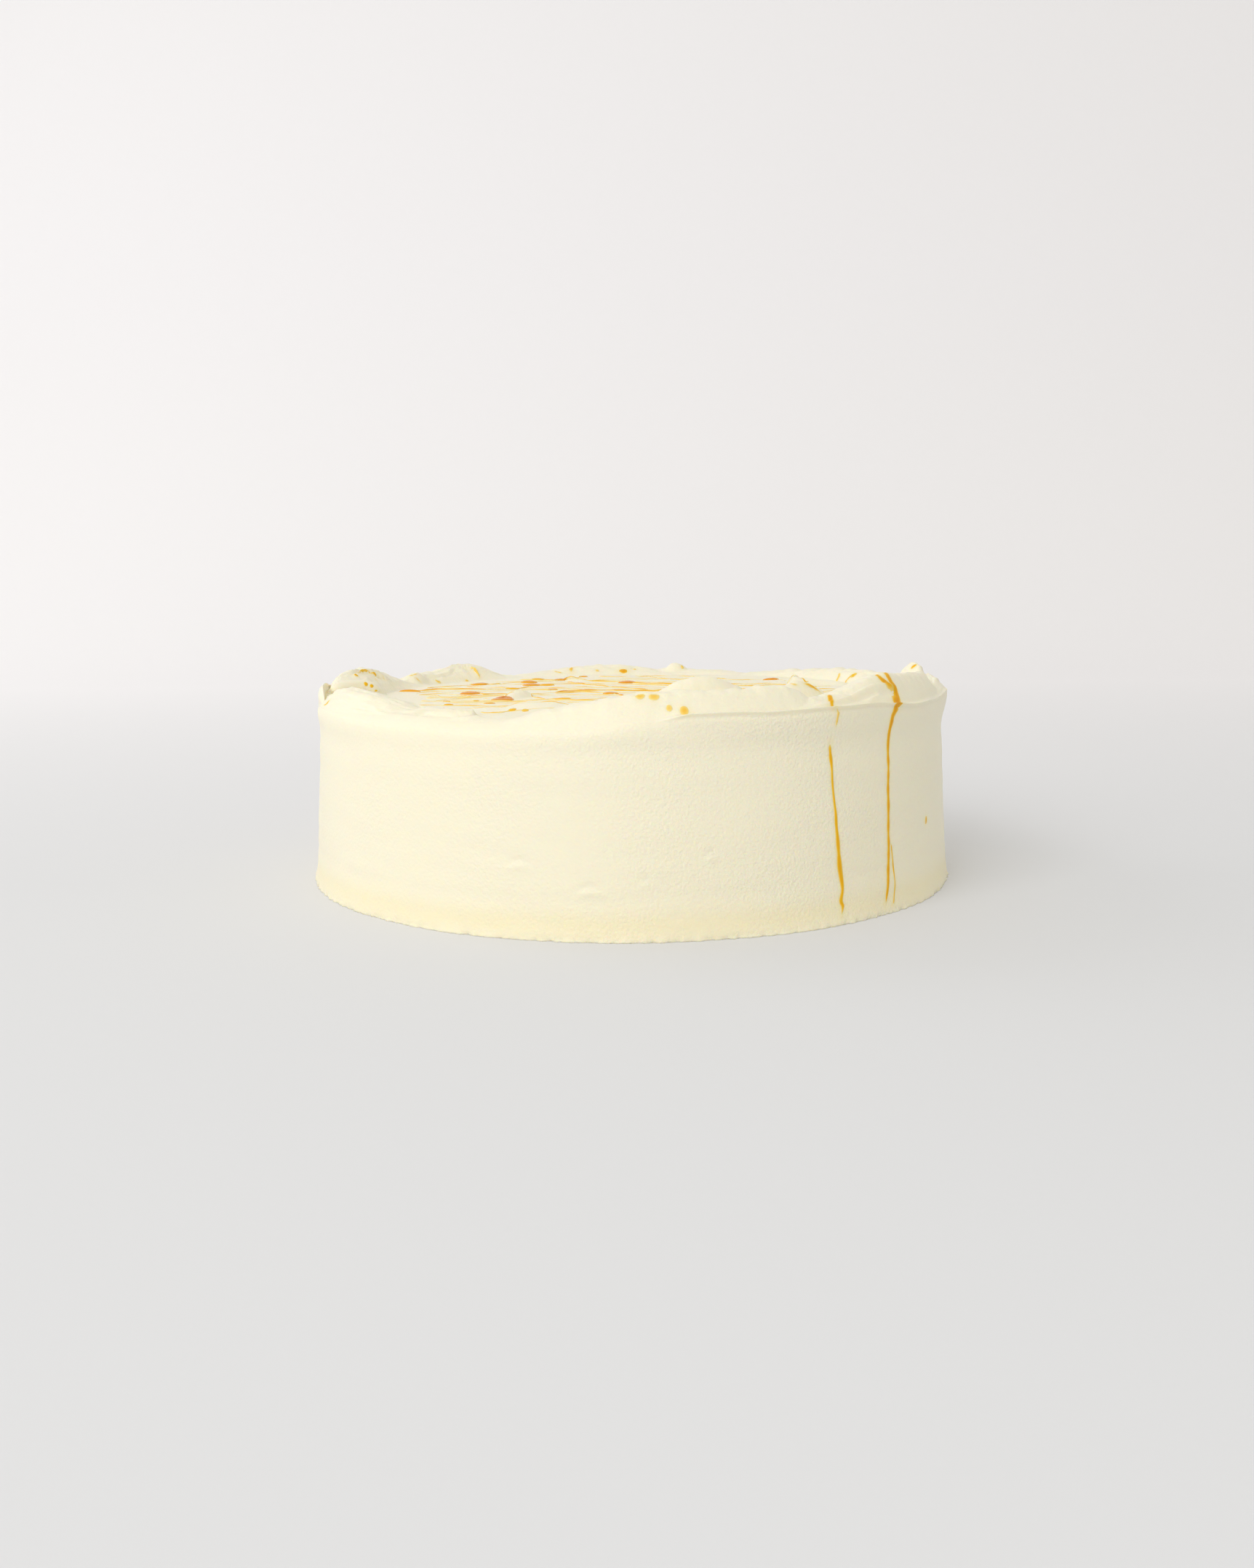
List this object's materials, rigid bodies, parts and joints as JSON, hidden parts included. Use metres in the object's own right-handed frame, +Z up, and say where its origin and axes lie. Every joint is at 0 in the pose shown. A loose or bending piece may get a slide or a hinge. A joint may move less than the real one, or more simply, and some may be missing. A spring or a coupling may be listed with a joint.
{
  "type": "cheesecake",
  "caption": "Round uncut cheesecake in whipped cream: smooth scraped wall, swooped rim round a flat top, thin citrus sauce drizzled across it and down the side.",
  "frame": {"origin": "centre of the flat round foot, on the surface that the cake stands on", "axes": "+Z up, -Y towards the side that faces the picture's camera, +X to the camera's right"},
  "size_m": [0.2184, 0.2184, 0.073],
  "materials": {
    "cream": "soft satin whipped cream, slightly see-through",
    "sauce": "glossy see-through citrus sauce, pale yellow where thin and amber where thick"
  },
  "bodies": {
    "root": {"cake": "cream"}
  },
  "joints": []
}
